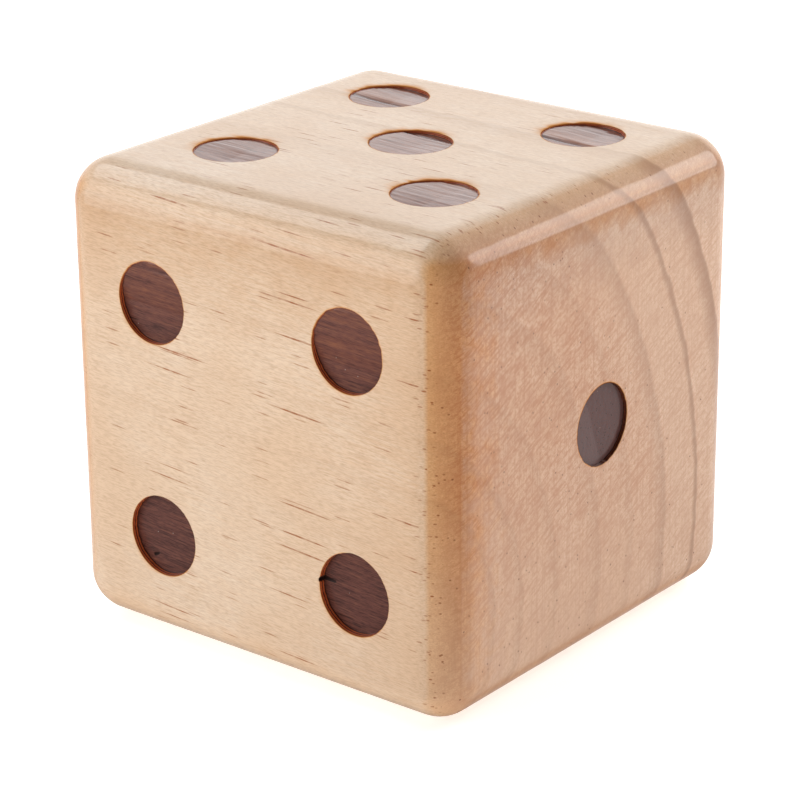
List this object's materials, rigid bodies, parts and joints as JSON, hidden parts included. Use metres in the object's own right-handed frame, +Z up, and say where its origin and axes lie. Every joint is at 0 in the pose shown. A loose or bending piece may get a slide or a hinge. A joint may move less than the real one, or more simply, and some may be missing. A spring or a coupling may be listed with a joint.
{
  "type": "giant yard die",
  "caption": "Solid pine cube with rounded edges and dark, charred round recesses for pips: a die for lawn games.",
  "frame": {"origin": "centre of the face that the die stands on, which is its two", "axes": "+Z up through the five, +X through the one, -Y through the four; the grain runs along X"},
  "size_m": [0.089, 0.089, 0.089],
  "materials": {
    "pine": "satin, clear lacquer",
    "charred_pip": "laser-burnt, clear lacquer"
  },
  "bodies": {
    "root": {"pine_block": "pine", "pip_one_centre": "charred_pip", "pip_two_rear_left": "charred_pip", "pip_two_front_right": "charred_pip", "pip_three_upper_left": "charred_pip", "pip_three_centre": "charred_pip", "pip_three_lower_right": "charred_pip", "pip_four_upper_left": "charred_pip", "pip_four_upper_right": "charred_pip", "pip_four_lower_left": "charred_pip", "pip_four_lower_right": "charred_pip", "pip_five_rear_left": "charred_pip", "pip_five_rear_right": "charred_pip", "pip_five_centre": "charred_pip", "pip_five_front_left": "charred_pip", "pip_five_front_right": "charred_pip", "pip_six_upper_front": "charred_pip", "pip_six_middle_front": "charred_pip", "pip_six_lower_front": "charred_pip", "pip_six_upper_rear": "charred_pip", "pip_six_middle_rear": "charred_pip", "pip_six_lower_rear": "charred_pip"}
  },
  "joints": []
}
